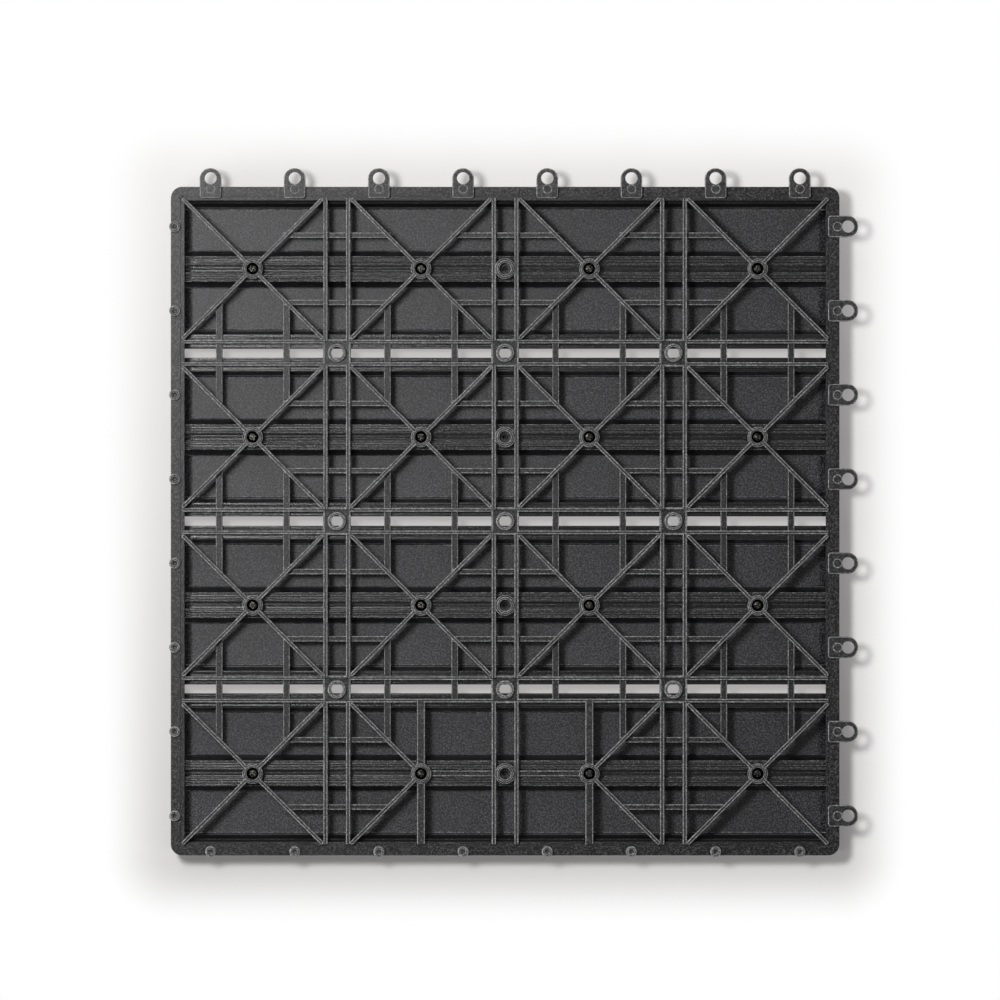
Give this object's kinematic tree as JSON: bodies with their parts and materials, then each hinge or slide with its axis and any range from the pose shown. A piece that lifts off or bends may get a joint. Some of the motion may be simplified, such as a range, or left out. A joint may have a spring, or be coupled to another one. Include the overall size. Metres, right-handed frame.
{
  "type": "interlocking deck tile",
  "caption": "Square interlocking deck tile shown from below: composite slats screwed to a moulded plastic grid with loops and pins along its edges.",
  "frame": {"origin": "centre of the bounding box in plan, at the height of the slats' walking faces; the tile's own centre is 3.75 mm left of it and 3.75 mm below", "axes": "+X along the slats towards the edge with loops, +Y towards the other edge with loops, +Z out of the tile's underside, which faces up"},
  "size_m": [0.3068, 0.3068, 0.022],
  "materials": {
    "grid_plastic": "charcoal black moulded plastic with a slight sheen",
    "slat_composite": "dark grey extruded wood composite, fine lengthwise lines",
    "screw_steel": "small cross-recess pan-head screws"
  },
  "bodies": {
    "root": {"base_grid": "grid_plastic", "slat_1": "slat_composite", "slat_2": "slat_composite", "slat_3": "slat_composite", "slat_4": "slat_composite", "slat_screws": "screw_steel"}
  },
  "joints": []
}
